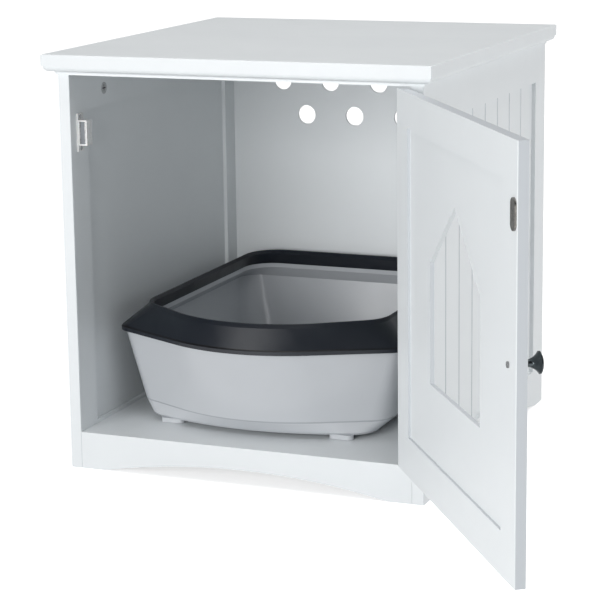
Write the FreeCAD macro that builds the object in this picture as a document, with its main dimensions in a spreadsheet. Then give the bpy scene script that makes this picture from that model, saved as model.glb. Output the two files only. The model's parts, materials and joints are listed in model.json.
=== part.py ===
import FreeCAD, Part
import math
import os
from types import SimpleNamespace

import Sketcher
from FreeCAD import Rotation, Vector

# Cat litter box cabinet, in millimetres.
# X runs across the front, Y from the front to the rear plane (Y = 0), Z up from the floor.

CABINET_SIZES = {
    "top_width": 490,
    "top_depth": 512,
    "overall_height": 512,
    "top_thick": 14,
    "top_overhang": 15,
    "top_ease": 1.2,
    "edge_ease": 1,
    "board_thick": 15,
    "stile_width": 44,
    "top_rail_width": 58,
    "side_rail_top": 50,
    "panel_thick": 5,
    "panel_groove": 6,
    "panel_float": 0.5,
    "side_boards": 8,
    "bead_width": 3.2,
    "bead_depth": 1.6,
    "foot_flat": 21,
    "foot_round": 100,
    "side_arch_rise": 20,
    "front_arch_rise": 18.5,
    "floor_top": 46,
    "back_setback": 8,
    "back_groove": 5,
    "vent_bore": 26,
    "vent_pitch": 70.5,
    "upper_vent_drop": 70,
    "lower_vent_drop": 116.5,
    "upper_vents": 5,
    "lower_vents": 4,
}

CORNICE_SIZES = {
    "cornice_drop": 11,
    "cornice_reach": 13,
    "cornice_fillet": 1.5,
    "cornice_step": 2,
    "cove_radius": 3,
    "ovolo_radius": 6,
}

FASTENER_SIZES = {
    "cam_bore": 15,
    "cam_play": 0.2,
    "cam_depth": 12,
    "cam_inset": 37,
    "cam_slot": 9,
    "cam_slot_width": 1.6,
    "cam_slot_depth": 1.5,
    "cam_setin": 90,
    "cam_bolt_thread": 6,
    "cam_bolt_shaft": 5,
    "cam_bolt_head": 6.4,
    "cam_bolt_bite": 10,
    "cam_bolt_play": 0.2,
    "cam_bolt_clear": 0.6,
    "cam_bolt_short": 2,
    "dowel": 8,
    "dowel_fit": 0.2,
    "dowel_bite": 9,
    "dowel_length": 28,
    "dowel_play": 0.5,
    "top_dowel_setin": 150,
    "floor_dowel_setin": 125,
    "apron_dowel_spacing": 140,
}

DOOR_SIZES = {
    "door_open": 124.8,
    "door_thick": 12,
    "door_hinge_gap": 1,
    "door_free_gap": 3,
    "door_bottom_gap": 2.5,
    "door_top_gap": 1,
    "door_stile": 44,
    "door_top_rail": 39,
    "door_bottom_rail": 46,
    "door_recess": 4,
    "door_boards": 7,
    "entrance_width": 180,
    "entrance_sill": 177,
    "entrance_eaves": 312,
    "entrance_apex": 387,
}

HINGE_SIZES = {
    "pivot_from_side": 1,
    "pivot_proud": 2.6,
    "leaf_thick": 0.8,
    "leaf_width": 14,
    "leaf_height": 50,
    "knuckle_round": 4.8,
    "knuckle_middle": 17,
    "knuckle_play": 0.3,
    "pin_round": 2.6,
    "pin_fit": 0.1,
    "pin_head": 4.2,
    "pin_head_thick": 1,
    "hinge_setin": 60,
    "hinge_screw_back": 8.6,
    "hinge_screw_pitch": 17,
}

SCREW_SIZES = {
    "screw_head": 5.6,
    "screw_head_deep": 1.5,
    "screw_shaft": 3,
    "screw_length": 10,
    "screw_play": 0.1,
}

FITTING_SIZES = {
    "catch_drop": 82.5,
    "catch_flange": 46,
    "catch_flange_thick": 2.5,
    "catch_depth": 14,
    "catch_body": 30.5,
    "catch_reach": 14,
    "catch_slot_deep": 9,
    "catch_rim": 1.6,
    "pole_plate": 1.2,
    "pole_proud": 0.3,
    "magnet_recess": 0.6,
    "strike_width": 14,
    "strike_length": 32,
    "strike_thick": 2,
    "strike_from_edge": 8.5,
    "strike_gap": 0.3,
    "knob_from_edge": 23,
    "knob_foot": 9,
    "knob_neck": 7,
    "knob_neck_out": 4,
    "knob_round": 22.5,
    "knob_flare_out": 18.5,
    "knob_edge": 1,
    "knob_reach": 23,
    "knob_screw": 4,
    "knob_screw_play": 0.1,
    "knob_screw_clear": 0.4,
    "knob_screw_bite": 10,
    "knob_screw_head": 6.6,
    "knob_screw_head_thick": 1.6,
}

TRAY_SIZES = {
    "tray_centre": -15,
    "tray_front_gap": 3,
    "tray_width": 378,
    "tray_depth": 467,
    "tray_lift": 0.3,
    "tray_foot_rise": 6,
    "tray_wall": 2.5,
    "rim_wall": 2.2,
    "base_ease": 3,
    "crease_rise": 22,
    "neck_rise": 107,
    "wall_rise": 111,
    "skirt_rise": 111.5,
    "bead_rise": 117.5,
    "bead_step": 1.6,
    "lip_rise": 128,
    "lip_height": 6,
    "ridge_rise": 146.5,
    "crown_height": 4.5,
    "rim_fit": 3.5,
    "rim_gap": 0.3,
    "foot_spacing": 225,
    "foot_length": 31,
    "foot_width": 13,
    "foot_setin": 20,
}

# The tray's outlines. Each is set in from the rim's skirt at the sides, front and back, with a
# bowed front, the bow's half angle, and the rounding of its front and rear corners.
RING_FIELDS = ("side", "front", "back", "bow", "angle", "front_round", "rear_round")
RING_SIZES = {
    "base": (38, 39, 50, 350, 17, 36, 45),
    "crease": (23, 27, 30, 200, 26.5, 35, 40),
    "skirt": (0, 0, 0, 190, 26.5, 24, 35),
    "ridge": (29, 11, 10, 170, 35, 45, 45),
    "brow": (32, 20, 22, 161, 35, 42, 42),
    "opening": (28, 20, 21, 180, 30, 40, 40),
}


FULL_TURN = 360
SAME_POINT = 1e-6
LEAST_CUT = 0.01


# How far across the rim's rounded top, from its outer edge, the flat on it starts and ends.
CROWN_OUTER = 0.4
CROWN_INNER = 0.65


class Size:
    """A length, angle or count: its value, and the formula on the sheet that gives it."""

    def __init__(self, value, text):
        self.value = float(value)
        self.text = text

    def __add__(self, other):
        other = as_size(other)
        return Size(self.value + other.value, f"({self.text} + {other.text})")

    def __radd__(self, other):
        return as_size(other) + self

    def __sub__(self, other):
        other = as_size(other)
        return Size(self.value - other.value, f"({self.text} - {other.text})")

    def __rsub__(self, other):
        return as_size(other) - self

    def __mul__(self, other):
        other = as_size(other)
        return Size(self.value * other.value, f"({self.text} * {other.text})")

    def __rmul__(self, other):
        return as_size(other) * self

    def __truediv__(self, other):
        other = as_size(other)
        return Size(self.value / other.value, f"({self.text} / {other.text})")

    def __neg__(self):
        return Size(-self.value, f"(-{self.text})")


def as_size(item):
    return item if isinstance(item, Size) else Size(item, f"({float(item)})")


def root(size):
    return Size(math.sqrt(size.value), f"sqrt({size.text})")


def sine(angle):
    return Size(math.sin(math.radians(angle.value)), f"sin({angle.text})")


def cosine(angle):
    return Size(math.cos(math.radians(angle.value)), f"cos({angle.text})")


def read_sheet(doc, tables):
    """Put the driving sizes on a sheet and give each back as a Size."""
    sheet = doc.addObject("Spreadsheet::Sheet", "dims")
    names = [name for table in tables for name in table]
    values = [value for table in tables for value in table.values()]
    for row, (name, value) in enumerate(zip(names, values), start=1):
        sheet.set(f"A{row}", name)
        sheet.set(f"B{row}", str(value))
        sheet.setAlias(f"B{row}", name)
    doc.recompute()
    return SimpleNamespace(**{name: Size(sheet.get(name), f"dims.{name}") for name in names})


def ring_cells():
    """The tray outlines' sizes, named after the outline and the field."""
    return {
        f"{ring}_{field}": value
        for ring, values in RING_SIZES.items()
        for field, value in zip(RING_FIELDS, values)
    }


document = FreeCAD.newDocument("litter_box_cabinet")
d = read_sheet(
    document,
    (CABINET_SIZES, CORNICE_SIZES, FASTENER_SIZES, DOOR_SIZES, HINGE_SIZES, SCREW_SIZES,
     FITTING_SIZES, TRAY_SIZES, ring_cells()),
)

# Planes of the cabinet that several pieces share.
zero = Size(0, "0")
body_half = d.top_width / 2 - d.top_overhang
inner_half = body_half - d.board_thick
front = d.top_overhang - d.top_depth
under_top = d.overall_height - d.top_thick
floor_under = d.floor_top - d.board_thick
floor_front = front + d.board_thick
panel_inner = body_half - (d.board_thick + d.panel_thick) / 2
panel_outer = panel_inner + d.panel_thick
bolt_line = body_half - d.board_thick / 2
rail_front = front + d.stile_width
rail_back = -d.stile_width
rail_under = under_top - d.top_rail_width
tongue = d.panel_groove - d.panel_float
back_outer = -d.back_setback
back_inner = back_outer - d.panel_thick
cam_height = under_top - d.cam_inset
pivot_x = inner_half - d.pivot_from_side
pivot_y = front - d.pivot_proud
tray_front = front + d.door_thick + d.tray_front_gap


class Frame:
    """Where a group of pieces is set out: a pivot line and a turn about it."""

    def __init__(self, x, y, turn):
        self.x = x
        self.y = y
        self.turn = turn

    def place(self, body, corner):
        along, across, height = corner
        if self.turn is None:
            base = (self.x + along, self.y + across, height)
        else:
            spin_sine = sine(self.turn)
            spin_cosine = cosine(self.turn)
            base = (
                self.x + along * spin_cosine - across * spin_sine,
                self.y + along * spin_sine + across * spin_cosine,
                height,
            )
            body.Placement.Rotation = Rotation(Vector(0, 0, 1), self.turn.value)
            body.setExpression("Placement.Rotation.Angle", self.turn.text)
        for axis, size in zip("xyz", base):
            body.setExpression(f"Placement.Base.{axis}", size.text)


# The door is set out along its own width from the pivot, with its outer face towards +Y.
CABINET = Frame(zero, zero, None)
DOOR = Frame(pivot_x, pivot_y, d.door_open + 180)

PLANES = {"x": ("YZ_Plane", 1, 2), "y": ("XZ_Plane", 0, 2), "z": ("XY_Plane", 0, 1)}


class Line:
    """A straight edge of an outline, up to a point."""

    def __init__(self, x, y):
        self.end = (x, y)


class Bend:
    """A round edge of an outline, up to a point; turn is 1 to the left and -1 to the right."""

    def __init__(self, x, y, radius, turn):
        self.end = (x, y)
        self.radius = radius
        self.turn = turn

    def geometry(self, start, end):
        chord = end - start
        middle = (start + end) / 2
        reach = math.sqrt(self.radius.value ** 2 - (chord.Length / 2) ** 2)
        side = Vector(-chord.y, chord.x, 0).normalize()
        centre = middle + side * reach * self.turn
        first, last = (start, end) if self.turn > 0 else (end, start)
        angles = [math.atan2(point.y - centre.y, point.x - centre.x) for point in (first, last)]
        circle = Part.Circle(centre, Vector(0, 0, 1), self.radius.value)
        return Part.ArcOfCircle(circle, angles[0], angles[1])


class Piece:
    """One node: a body placed by its corner, and cut and padded in its frame's own sizes."""

    made = []

    def __init__(self, name, corner, frame=CABINET):
        self.body = document.addObject("PartDesign::Body", name)
        self.body.Label = name
        self.corner = tuple(as_size(item) for item in corner)
        frame.place(self.body, self.corner)
        self.steps = 0
        Piece.made.append(self)

    def title(self, word):
        self.steps += 1
        return f"{self.body.Name}_{word}_{self.steps}"

    def sketch(self, axis, level):
        """A sketch across an axis; level is where it lies along that axis."""
        role = PLANES[axis][0]
        plane = next(item for item in self.body.Origin.OriginFeatures if item.Role == role)
        sketch = self.body.newObject("Sketcher::SketchObject", self.title("sketch"))
        sketch.AttachmentSupport = (plane, [""])
        sketch.MapMode = "FlatFace"
        lift = as_size(level) - self.corner["xyz".index(axis)]
        if axis == "y":
            lift = -lift
        sketch.setExpression("AttachmentOffset.Base.z", lift.text)
        return sketch

    def local(self, axis, point):
        """A point of the frame as the sketch across that axis sees it."""
        first, second = PLANES[axis][1:]
        return (as_size(point[0]) - self.corner[first], as_size(point[1]) - self.corner[second])

    def outline(self, axis, level, start, edges):
        """A closed outline of straight and round edges that ends where it starts."""
        sketch = self.sketch(axis, level)
        ends = [self.local(axis, start)] + [self.local(axis, edge.end) for edge in edges]
        spots = [Vector(x.value, y.value, 0) for x, y in ends]
        heads = []
        tails = []
        for index, edge in enumerate(edges):
            if isinstance(edge, Bend):
                sketch.addGeometry(edge.geometry(spots[index], spots[index + 1]))
                heads.append(1 if edge.turn > 0 else 2)
            else:
                sketch.addGeometry(Part.LineSegment(spots[index], spots[index + 1]))
                heads.append(1)
            tails.append(3 - heads[-1])
        for index, edge in enumerate(edges):
            before = index - 1 if index else len(edges) - 1
            sketch.addConstraint(
                Sketcher.Constraint("Coincident", before, tails[before], index, heads[index])
            )
            fix_point(sketch, index, heads[index], ends[index])
            if isinstance(edge, Bend):
                bind(sketch, Sketcher.Constraint("Radius", index, edge.radius.value), edge.radius)
        return sketch

    def rectangle(self, axis, level, low, high):
        """A rectangle between two opposite corners."""
        edges = [
            Line(high[0], low[1]),
            Line(high[0], high[1]),
            Line(low[0], high[1]),
            Line(low[0], low[1]),
        ]
        return self.outline(axis, level, low, edges)

    def circles(self, axis, level, centres, width):
        sketch = self.sketch(axis, level)
        for index, centre in enumerate(centres):
            x, y = self.local(axis, centre)
            circle = Part.Circle(Vector(x.value, y.value, 0), Vector(0, 0, 1), width.value / 2)
            sketch.addGeometry(circle)
            fix_point(sketch, index, 3, (x, y))
            bind(sketch, Sketcher.Constraint("Diameter", index, width.value), width)
        return sketch

    def pad(self, axis, sketch, length, toward=1):
        feature = self.body.newObject("PartDesign::Pad", self.title("pad"))
        feature.Profile = sketch
        feature.setExpression("Length", as_size(length).text)
        feature.Reversed = (toward < 0) != (axis == "y")
        return feature

    def cut(self, axis, sketch, depth, toward=1):
        feature = self.body.newObject("PartDesign::Pocket", self.title("cut"))
        feature.Profile = sketch
        feature.setExpression("Length", as_size(depth).text)
        feature.Reversed = (toward > 0) != (axis == "y")
        return feature

    def block(self, low, high):
        return self.pad("z", self.rectangle("z", low[2], low[:2], high[:2]), high[2] - low[2])

    def slot(self, low, high):
        """Cut away a box between two opposite corners."""
        low = tuple(as_size(item) for item in low)
        high = tuple(as_size(item) for item in high)
        return self.cut("z", self.rectangle("z", low[2], low[:2], high[:2]), high[2] - low[2])

    def bore(self, axis, level, centres, width, depth, toward=1):
        return self.cut(axis, self.circles(axis, level, centres, width), depth, toward)

    def peg(self, axis, level, centres, width, length, toward=1):
        return self.pad(axis, self.circles(axis, level, centres, width), length, toward)

    def turned(self, axis, centre, level, edges, toward=1, cut=False):
        """Turn a profile about a line along an axis. The profile starts on that line at the
        level, and its points are (radius, distance along the line)."""
        across = {"x": "z", "y": "z", "z": "y"}[axis]
        spot = dict(zip([name for name in "xyz" if name != axis], centre))
        spot[axis] = level
        columns = ["xyz"[number] for number in PLANES[across][1:]]
        line_first = columns[0] == axis
        side = columns[1] if line_first else columns[0]

        def point(radius, distance):
            along = as_size(spot[axis]) + as_size(distance) * toward
            out = as_size(spot[side]) + radius
            return (along, out) if line_first else (out, along)

        mirror = -1 if line_first == (toward > 0) else 1
        moved = []
        for edge in edges:
            if isinstance(edge, Bend):
                moved.append(Bend(*point(*edge.end), edge.radius, edge.turn * mirror))
            else:
                moved.append(Line(*point(*edge.end)))
        sketch = self.outline(across, spot[across], point(*edges[-1].end), moved)
        kind = "PartDesign::Groove" if cut else "PartDesign::Revolution"
        feature = self.body.newObject(kind, self.title("turned"))
        feature.Profile = sketch
        feature.ReferenceAxis = (sketch, [f"Edge{len(moved)}"])
        feature.Angle = FULL_TURN
        return feature

    def loft(self, rings, cut=False):
        """A straight-sided skin through closed outlines, from the lowest to the highest."""
        kind = "PartDesign::SubtractiveLoft" if cut else "PartDesign::AdditiveLoft"
        sketches = [self.outline("z", height, *ring.path()) for height, ring in rings]
        feature = self.body.newObject(kind, self.title("loft"))
        feature.Profile = sketches[0]
        feature.Sections = sketches[1:]
        feature.Ruled = True
        return feature

    def ease(self, feature, radius, chosen):
        """Round the edges of a feature whose middle passes a test."""
        document.recompute()
        names = [
            f"Edge{number}"
            for number, edge in enumerate(feature.Shape.Edges, start=1)
            if chosen(edge)
        ]
        rounding = self.body.newObject("PartDesign::Fillet", self.title("ease"))
        rounding.Base = (feature, names)
        rounding.setExpression("Radius", radius.text)
        return rounding


def bind(sketch, constraint, size):
    number = sketch.addConstraint(constraint)
    sketch.setExpression(f"Constraints[{number}]", size.text)


def fix_point(sketch, edge, end, spot):
    """Tie a point of a sketch to the sketch's origin."""
    for size, kind, line in zip(spot, ("DistanceX", "DistanceY"), (-2, -1)):
        if abs(size.value) < SAME_POINT:
            sketch.addConstraint(Sketcher.Constraint("PointOnObject", edge, end, line))
        elif size.value > 0:
            bind(sketch, Sketcher.Constraint(kind, -1, 1, edge, end, size.value), size)
        else:
            bind(sketch, Sketcher.Constraint(kind, edge, end, -1, 1, -size.value), -size)


def stadium(x, y, half_x, half_y):
    """A slot shape with round ends, longer along its second axis or along its first."""
    rounding = half_x if half_x.value < half_y.value else half_y
    inner_x = half_x - rounding
    inner_y = half_y - rounding
    edges = []
    for sign_x, sign_y in ((1, -1), (1, 1), (-1, 1), (-1, -1)):
        side_point = (x + half_x * sign_x, y + inner_y * sign_y)
        end_point = (x + inner_x * sign_x, y + half_y * sign_y)
        first, second = (end_point, side_point) if sign_x != sign_y else (side_point, end_point)
        edges.append(Line(*first))
        edges.append(Bend(*second, rounding, 1))
    edges = [
        edge
        for before, edge in zip([edges[-1]] + edges[:-1], edges)
        if isinstance(edge, Bend) or apart(before.end, edge.end)
    ]
    return edges[-1].end, edges


def apart(first, second):
    return any(abs(one.value - other.value) > SAME_POINT for one, other in zip(first, second))


def upright(edge):
    return max(edge.BoundBox.XLength, edge.BoundBox.YLength) < SAME_POINT


def at(place, size):
    return abs(place - size.value) < SAME_POINT


def board(name, low, high, frame=CABINET):
    piece = Piece(name, low, frame)
    piece.block(piece.corner, tuple(as_size(item) for item in high))
    return piece


def span(side, inner, outer):
    """Low and high X of a stretch from inner to outer on the left (-1) or right (1) side."""
    return (inner, outer) if side > 0 else (-outer, -inner)


class Arch:
    """An arched underside: a long arc that runs out to the floor through a small one."""

    def __init__(self, low, high, rise):
        self.centre = (low + high) / 2
        self.rise = rise
        self.half = (high - low) / 2 - d.foot_flat
        both = (self.half * self.half + rise * rise) / (rise * 2)
        self.radius = both - d.foot_round
        share = d.foot_round / both
        self.join = self.half * (1 - share)
        self.join_height = rise * share

    def height(self, place):
        """How high the long arc is at a place along the floor."""
        away = place - self.centre
        drop = root(self.radius * self.radius - away * away)
        return self.rise - self.radius + drop

    def rising(self):
        """From the flat foot at the low end up to the long arc."""
        return [
            Line(self.centre - self.half, zero),
            Bend(self.centre - self.join, self.join_height, d.foot_round, 1),
        ]

    def over(self, end, end_height):
        return Bend(end, end_height, self.radius, -1)

    def falling(self):
        return Bend(self.centre + self.half, zero, d.foot_round, 1)


side_arch = Arch(front, zero, d.side_arch_rise)
front_arch = Arch(-inner_half, inner_half, d.front_arch_rise)

cam_places = (front + d.cam_setin, -d.cam_setin)
top_dowel_places = (front + d.top_dowel_setin, -d.top_dowel_setin)
floor_dowel_places = (front + d.floor_dowel_setin, -d.floor_dowel_setin)
apron_dowel_places = (-d.apron_dowel_spacing, zero, d.apron_dowel_spacing)
apron_end_dowel = (front + d.board_thick / 2, floor_under)
rear_end_dowel = (-d.board_thick / 2, floor_under / 2)
floor_middle = d.floor_top - d.board_thick / 2
catch_height = under_top - d.catch_drop
dowel_bore = d.dowel + d.dowel_fit
cam_bolt_bore = d.cam_bolt_head + d.cam_bolt_clear
pin_bore = d.pin_round + d.pin_fit
knob_screw_bore = d.knob_screw + d.knob_screw_clear
bore_deep = d.dowel_bite + d.dowel_play
bore_long = d.dowel_length - d.dowel_bite + d.dowel_play
bolt_thread_bore = d.cam_bolt_thread + d.cam_bolt_play
bolt_thread_deep = d.cam_bolt_bite + d.cam_bolt_play


def screw_profile(play):
    """A countersunk screw, or its hole when there is play, from the head's face inwards."""
    head = d.screw_head / 2 + play
    shaft = d.screw_shaft / 2 + play
    deep = d.screw_head_deep + play
    end = d.screw_length + play
    return [Line(head, zero), Line(shaft, deep), Line(shaft, end), Line(zero, end),
            Line(zero, zero)]


def side_name(side):
    return "right" if side > 0 else "left"


def stile(name, side, is_front):
    """An upright of a side frame, with its foot cut by the arch."""
    low, high = (front, rail_front) if is_front else (rail_back, zero)
    left, right = span(side, inner_half, body_half)
    piece = Piece(name, (left, low, zero))
    if is_front:
        height = side_arch.height(high)
        foot = side_arch.rising() + [side_arch.over(high, height)]
        start = (low, zero)
        edges = foot + [Line(high, under_top), Line(low, under_top), Line(low, zero)]
    else:
        height = side_arch.height(low)
        start = (low, height)
        join = side_arch.centre + side_arch.join
        edges = [
            side_arch.over(join, side_arch.join_height),
            side_arch.falling(),
            Line(high, zero),
            Line(high, under_top),
            Line(low, under_top),
            Line(low, height),
        ]
    blank = piece.pad("x", piece.outline("x", left, start, edges), d.board_thick)
    if is_front:
        piece.ease(blank, d.edge_ease, lambda edge: upright(edge) and at(edge.BoundBox.YMin, zero))
    slot_left, slot_right = span(side, panel_inner, panel_outer)
    near = high - d.panel_groove if is_front else low
    piece.slot((slot_left, near, zero), (slot_right, near + d.panel_groove, under_top))
    face = inner_half * side
    centre = apron_end_dowel if is_front else rear_end_dowel
    piece.bore("x", face, [centre], dowel_bore, bore_deep, side)
    if not is_front:
        groove_left, groove_right = span(side, inner_half, inner_half + d.back_groove)
        base = d.floor_top - d.back_groove
        piece.slot((groove_left, back_inner, base), (groove_right, back_outer, under_top))
    return piece


def side_top_rail(name, side):
    left, right = span(side, inner_half, body_half)
    slot_left, slot_right = span(side, panel_inner, panel_outer)
    piece = board(name, (left, rail_front, rail_under), (right, rail_back, under_top))
    for low, high in ((rail_front - tongue, rail_front), (rail_back, rail_back + tongue)):
        piece.block((slot_left, low, rail_under), (slot_right, high, under_top))
    piece.slot(
        (slot_left, rail_front - tongue, rail_under),
        (slot_right, rail_back + tongue, rail_under + d.panel_groove),
    )
    centres = [(place, cam_height) for place in cam_places]
    piece.bore("x", inner_half * side, centres, d.cam_bore, d.cam_depth, side)
    line = bolt_line * side
    bolts = [(line, place) for place in cam_places]
    piece.bore("z", under_top, bolts, cam_bolt_bore, d.cam_inset, -1)
    pegs = [(line, place) for place in top_dowel_places]
    piece.bore("z", under_top, pegs, dowel_bore, bore_long, -1)
    return piece


def side_bottom_rail(name, side):
    """The arched lower rail, with a tongue at each end."""
    left, right = span(side, inner_half, body_half)
    slot_left, slot_right = span(side, panel_inner, panel_outer)
    piece = Piece(name, (left, rail_front - tongue, zero))
    layers = (
        (left, d.board_thick, rail_front, rail_back),
        (slot_left, d.panel_thick, rail_front - tongue, rail_back + tongue),
    )
    for level, thick, low, high in layers:
        height = side_arch.height(low)
        edges = [
            side_arch.over(high, height),
            Line(high, d.side_rail_top),
            Line(low, d.side_rail_top),
            Line(low, height),
        ]
        piece.pad("x", piece.outline("x", level, (low, height), edges), thick)
    piece.slot(
        (slot_left, rail_front - tongue, d.side_rail_top - d.panel_groove),
        (slot_right, rail_back + tongue, d.side_rail_top),
    )
    face = inner_half * side
    pegs = [(place, floor_middle) for place in floor_dowel_places]
    piece.bore("x", face, pegs, dowel_bore, bore_deep, side)
    bolts = [(place, floor_middle) for place in cam_places]
    piece.bore("x", face, bolts, bolt_thread_bore, bolt_thread_deep, side)
    return piece


def beads(piece, axis, face, low, high, bottom, top, boards, toward):
    """Cut the V grooves that part a panel into boards, at equal steps along an axis."""
    pitch = (high - low) / boards
    first = low + pitch
    half = d.bead_width / 2
    depth = face + d.bead_depth * toward
    if axis == "y":
        corners = [(face, first - half), (depth, first), (face, first + half)]
    else:
        corners = [(first - half, face), (first, depth), (first + half, face)]
    edges = [Line(*corners[1]), Line(*corners[2]), Line(*corners[0])]
    groove = piece.cut("z", piece.outline("z", bottom, corners[0], edges), top - bottom)
    pattern = piece.body.newObject("PartDesign::LinearPattern", piece.title("boards"))
    pattern.Originals = [groove]
    role = {"x": "X_Axis", "y": "Y_Axis"}[axis]
    line = next(item for item in piece.body.Origin.OriginFeatures if item.Role == role)
    pattern.Direction = (line, [""])
    pattern.setExpression("Length", (pitch * (boards - 2)).text)
    pattern.setExpression("Occurrences", (boards - 1).text)
    piece.body.Tip = pattern
    return pattern


def side_beadboard(name, side):
    left, right = span(side, panel_inner, panel_outer)
    bottom = d.side_rail_top - tongue
    top = rail_under + tongue
    piece = board(name, (left, rail_front - tongue, bottom), (right, rail_back + tongue, top))
    beads(piece, "y", panel_outer * side, rail_front, rail_back, bottom, top, d.side_boards, -side)
    return piece


def make_side(side):
    name = side_name(side)
    front_stile = stile(f"{name}_front_stile", side, True)
    stile(f"{name}_rear_stile", side, False)
    side_top_rail(f"{name}_top_rail", side)
    side_bottom_rail(f"{name}_bottom_rail", side)
    side_beadboard(f"{name}_beadboard", side)
    return front_stile


def make_top():
    half = d.top_width / 2
    piece = board("top_board", (-half, -d.top_depth, under_top), (half, zero, d.overall_height))
    blank = piece.body.Tip
    rear = d.top_depth.value - d.top_ease.value

    def outer(edge):
        box = edge.BoundBox
        return box.YMin < rear and box.Center.z > d.top_ease.value

    piece.ease(blank, d.top_ease, outer)
    reach = inner_half + d.back_groove
    piece.slot((-reach, back_inner, under_top), (reach, back_outer, under_top + d.back_groove))
    spots = [(bolt_line * side, place) for side in (-1, 1) for place in cam_places]
    piece.bore("z", under_top, spots, bolt_thread_bore, bolt_thread_deep)
    spots = [(bolt_line * side, place) for side in (-1, 1) for place in top_dowel_places]
    piece.bore("z", under_top, spots, dowel_bore, bore_deep)


def cornice_edges(point, turn):
    """The moulding's section from the body's face outwards; point maps (reach, drop)."""
    step = d.cornice_step
    low = under_top - d.cornice_drop
    ledge = low + d.cornice_fillet
    cove_end = step + d.cove_radius
    cove_top = ledge + d.cove_radius
    round_start = d.cornice_reach - d.ovolo_radius
    round_end = cove_top + d.ovolo_radius
    return point(zero, low), [
        Line(*point(step, low)),
        Line(*point(step, ledge)),
        Bend(*point(cove_end, cove_top), d.cove_radius, -turn),
        Line(*point(round_start, cove_top)),
        Bend(*point(d.cornice_reach, round_end), d.ovolo_radius, turn),
        Line(*point(d.cornice_reach, under_top)),
        Line(*point(zero, under_top)),
        Line(*point(zero, low)),
    ]


def make_cornices():
    low = under_top - d.cornice_drop
    reach = d.cornice_reach
    wide = body_half + reach
    piece = Piece("cornice_front", (-wide, front - reach, low))
    start, edges = cornice_edges(lambda out, height: (front - out, height), -1)
    piece.pad("x", piece.outline("x", -wide, start, edges), wide * 2)
    for side in (-1, 1):
        mitre = [
            Line(body_half * side, front),
            Line(wide * side, front - reach),
            Line(wide * side, front),
        ]
        sketch = piece.outline("z", low, (wide * side, front), mitre)
        piece.cut("z", sketch, d.cornice_drop)
    for side in (-1, 1):
        left, right = span(side, body_half, wide)
        piece = Piece(f"cornice_{side_name(side)}", (left, front - reach, low))
        start, edges = cornice_edges(lambda out, height: ((body_half + out) * side, height), side)
        piece.pad("y", piece.outline("y", front - reach, start, edges), reach - front)
        mitre = [
            Line(body_half * side, front),
            Line(body_half * side, front - reach),
            Line(wide * side, front - reach),
        ]
        sketch = piece.outline("z", low, (wide * side, front - reach), mitre)
        piece.cut("z", sketch, d.cornice_drop)


def make_floor():
    piece = board(
        "floor_panel", (-inner_half, floor_front, floor_under), (inner_half, zero, d.floor_top)
    )
    base = d.floor_top - d.back_groove
    piece.slot((-inner_half, back_inner, base), (inner_half, back_outer, d.floor_top))
    for side in (-1, 1):
        edge = inner_half * side
        pegs = [(place, floor_middle) for place in floor_dowel_places]
        piece.bore("x", edge, pegs, dowel_bore, bore_long, -side)
        bolts = [(place, floor_middle) for place in cam_places]
        piece.bore("x", edge, bolts, cam_bolt_bore, d.cam_inset, -side)
        cams = [((inner_half - d.cam_inset) * side, place) for place in cam_places]
        piece.bore("z", floor_under, cams, d.cam_bore, d.cam_depth)
    pegs = [(place, floor_middle) for place in apron_dowel_places]
    piece.bore("y", floor_front, pegs, dowel_bore, bore_long)


def make_apron():
    piece = Piece("front_apron", (-inner_half, front, zero))
    edges = front_arch.rising() + [
        front_arch.over(front_arch.centre + front_arch.join, front_arch.join_height),
        front_arch.falling(),
        Line(inner_half, zero),
        Line(inner_half, d.floor_top),
        Line(-inner_half, d.floor_top),
        Line(-inner_half, zero),
    ]
    piece.pad("y", piece.outline("y", front, (-inner_half, zero), edges), d.board_thick)
    for side in (-1, 1):
        piece.bore("x", inner_half * side, [apron_end_dowel], dowel_bore, bore_long, -side)
    pegs = [(place, floor_middle) for place in apron_dowel_places]
    piece.bore("y", floor_front, pegs, dowel_bore, bore_deep, -1)


def make_rear_rail():
    piece = board(
        "rear_rail", (-inner_half, -d.board_thick, zero), (inner_half, zero, floor_under)
    )
    for side in (-1, 1):
        piece.bore("x", inner_half * side, [rear_end_dowel], dowel_bore, bore_long, -side)


def make_back():
    reach = inner_half + d.back_groove - d.panel_float
    piece = board(
        "back_panel",
        (-reach, back_inner, d.floor_top - d.back_groove),
        (reach, back_outer, under_top + d.back_groove - d.panel_float),
    )
    vents = []
    for count, drop in ((d.upper_vents, d.upper_vent_drop), (d.lower_vents, d.lower_vent_drop)):
        first = (1 - count) * d.vent_pitch / 2
        for step in range(int(count.value)):
            vents.append((first + step * d.vent_pitch, under_top - drop))
    piece.bore("y", back_inner, vents, d.vent_bore, d.panel_thick)


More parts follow.
